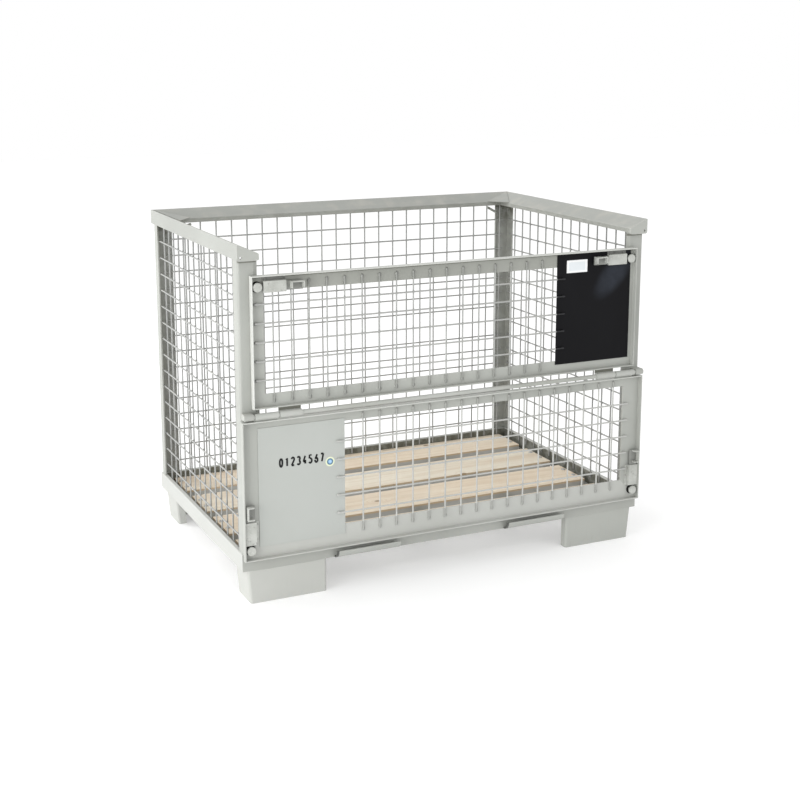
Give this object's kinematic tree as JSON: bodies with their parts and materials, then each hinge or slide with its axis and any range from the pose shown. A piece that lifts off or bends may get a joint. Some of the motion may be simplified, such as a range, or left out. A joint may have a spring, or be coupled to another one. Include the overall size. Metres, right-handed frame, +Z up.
{
  "type": "wire mesh container",
  "caption": "Free-standing steel mesh box pallet with a plank floor, angle feet, a stacking rim and a front wall of two hinged flaps held by sliding latches.",
  "frame": {"origin": "on the floor, at the centre of the base of the bounding box", "axes": "+X along the front towards the right, +Y from the front to the back, +Z up"},
  "size_m": [1.24, 0.835, 0.9689],
  "materials": {
    "frame_paint": "satin",
    "wire_paint": "satin",
    "rod_paint": "satin",
    "latch_paint": "satin",
    "plate_paint": "satin",
    "board_black": "semi-gloss",
    "pine": "sawn",
    "fastener_steel": "zinc plated",
    "label_paper": "matt",
    "sticker_film": "gloss"
  },
  "bodies": {
    "root": {"base_rail_back": "frame_paint", "base_rail_front": "frame_paint", "base_rail_left": "frame_paint", "base_rail_right": "frame_paint", "board_bolts": "fastener_steel", "floor_bearers": "frame_paint", "floor_board_1": "pine", "floor_board_2": "pine", "floor_board_3": "pine", "floor_board_4": "pine", "foot_back_left": "frame_paint", "foot_back_right": "frame_paint", "foot_front_left": "frame_paint", "foot_front_right": "frame_paint", "fork_guide_back_left": "frame_paint", "fork_guide_back_right": "frame_paint", "fork_guide_front_left": "frame_paint", "fork_guide_front_right": "frame_paint", "hinge_brackets": "frame_paint", "hinge_rod": "rod_paint", "latch_studs": "latch_paint", "mesh_back": "wire_paint", "mesh_left": "wire_paint", "mesh_right": "wire_paint", "post_back_left": "frame_paint", "post_back_right": "frame_paint", "post_front_left": "frame_paint", "post_front_right": "frame_paint", "rim_back": "frame_paint", "rim_braces": "frame_paint", "rim_corner_gussets": "frame_paint", "rim_end_plates": "frame_paint", "rim_left": "frame_paint", "rim_right": "frame_paint"},
    "upper_flap": {"black_board": "board_black", "paper_label": "label_paper", "upper_frame_bottom": "frame_paint", "upper_frame_left": "frame_paint", "upper_frame_right": "frame_paint", "upper_frame_top": "frame_paint", "upper_guide_rivets": "latch_paint", "upper_knuckles": "frame_paint", "upper_latch_guides": "latch_paint", "upper_mesh": "wire_paint"},
    "lower_flap": {"lower_frame_bottom": "frame_paint", "lower_frame_left": "frame_paint", "lower_frame_right": "frame_paint", "lower_frame_top": "frame_paint", "lower_guide_rivets": "latch_paint", "lower_knuckles": "frame_paint", "lower_latch_guides": "latch_paint", "lower_mesh": "wire_paint", "number_plate": "plate_paint", "round_sticker": "sticker_film"},
    "upper_latch_left": {"upper_latch_bolt_left": "latch_paint"},
    "upper_latch_right": {"upper_latch_bolt_right": "latch_paint"},
    "lower_latch_left": {"lower_latch_bolt_left": "latch_paint"},
    "lower_latch_right": {"lower_latch_bolt_right": "latch_paint"}
  },
  "joints": [
    {"name": "upper_flap_hinge", "type": "hinge", "parent": "root", "child": "upper_flap", "pos_m": [0, -0.409, 0.52], "axis": [1, 0, 0], "range_deg": [0, 180]},
    {"name": "lower_flap_hinge", "type": "hinge", "parent": "root", "child": "lower_flap", "pos_m": [0, -0.409, 0.52], "axis": [-1, 0, 0], "range_deg": [0, 180]},
    {"name": "upper_latch_left_slide", "type": "slide", "parent": "upper_flap", "child": "upper_latch_left", "axis": [1, 0, 0], "range_m": [-0.009, 0.01]},
    {"name": "upper_latch_right_slide", "type": "slide", "parent": "upper_flap", "child": "upper_latch_right", "axis": [-1, 0, 0], "range_m": [-0.009, 0.01]},
    {"name": "lower_latch_left_slide", "type": "slide", "parent": "lower_flap", "child": "lower_latch_left", "axis": [0, 0, 1], "range_m": [-0.009, 0.01]},
    {"name": "lower_latch_right_slide", "type": "slide", "parent": "lower_flap", "child": "lower_latch_right", "axis": [0, 0, 1], "range_m": [-0.009, 0.01]}
  ]
}
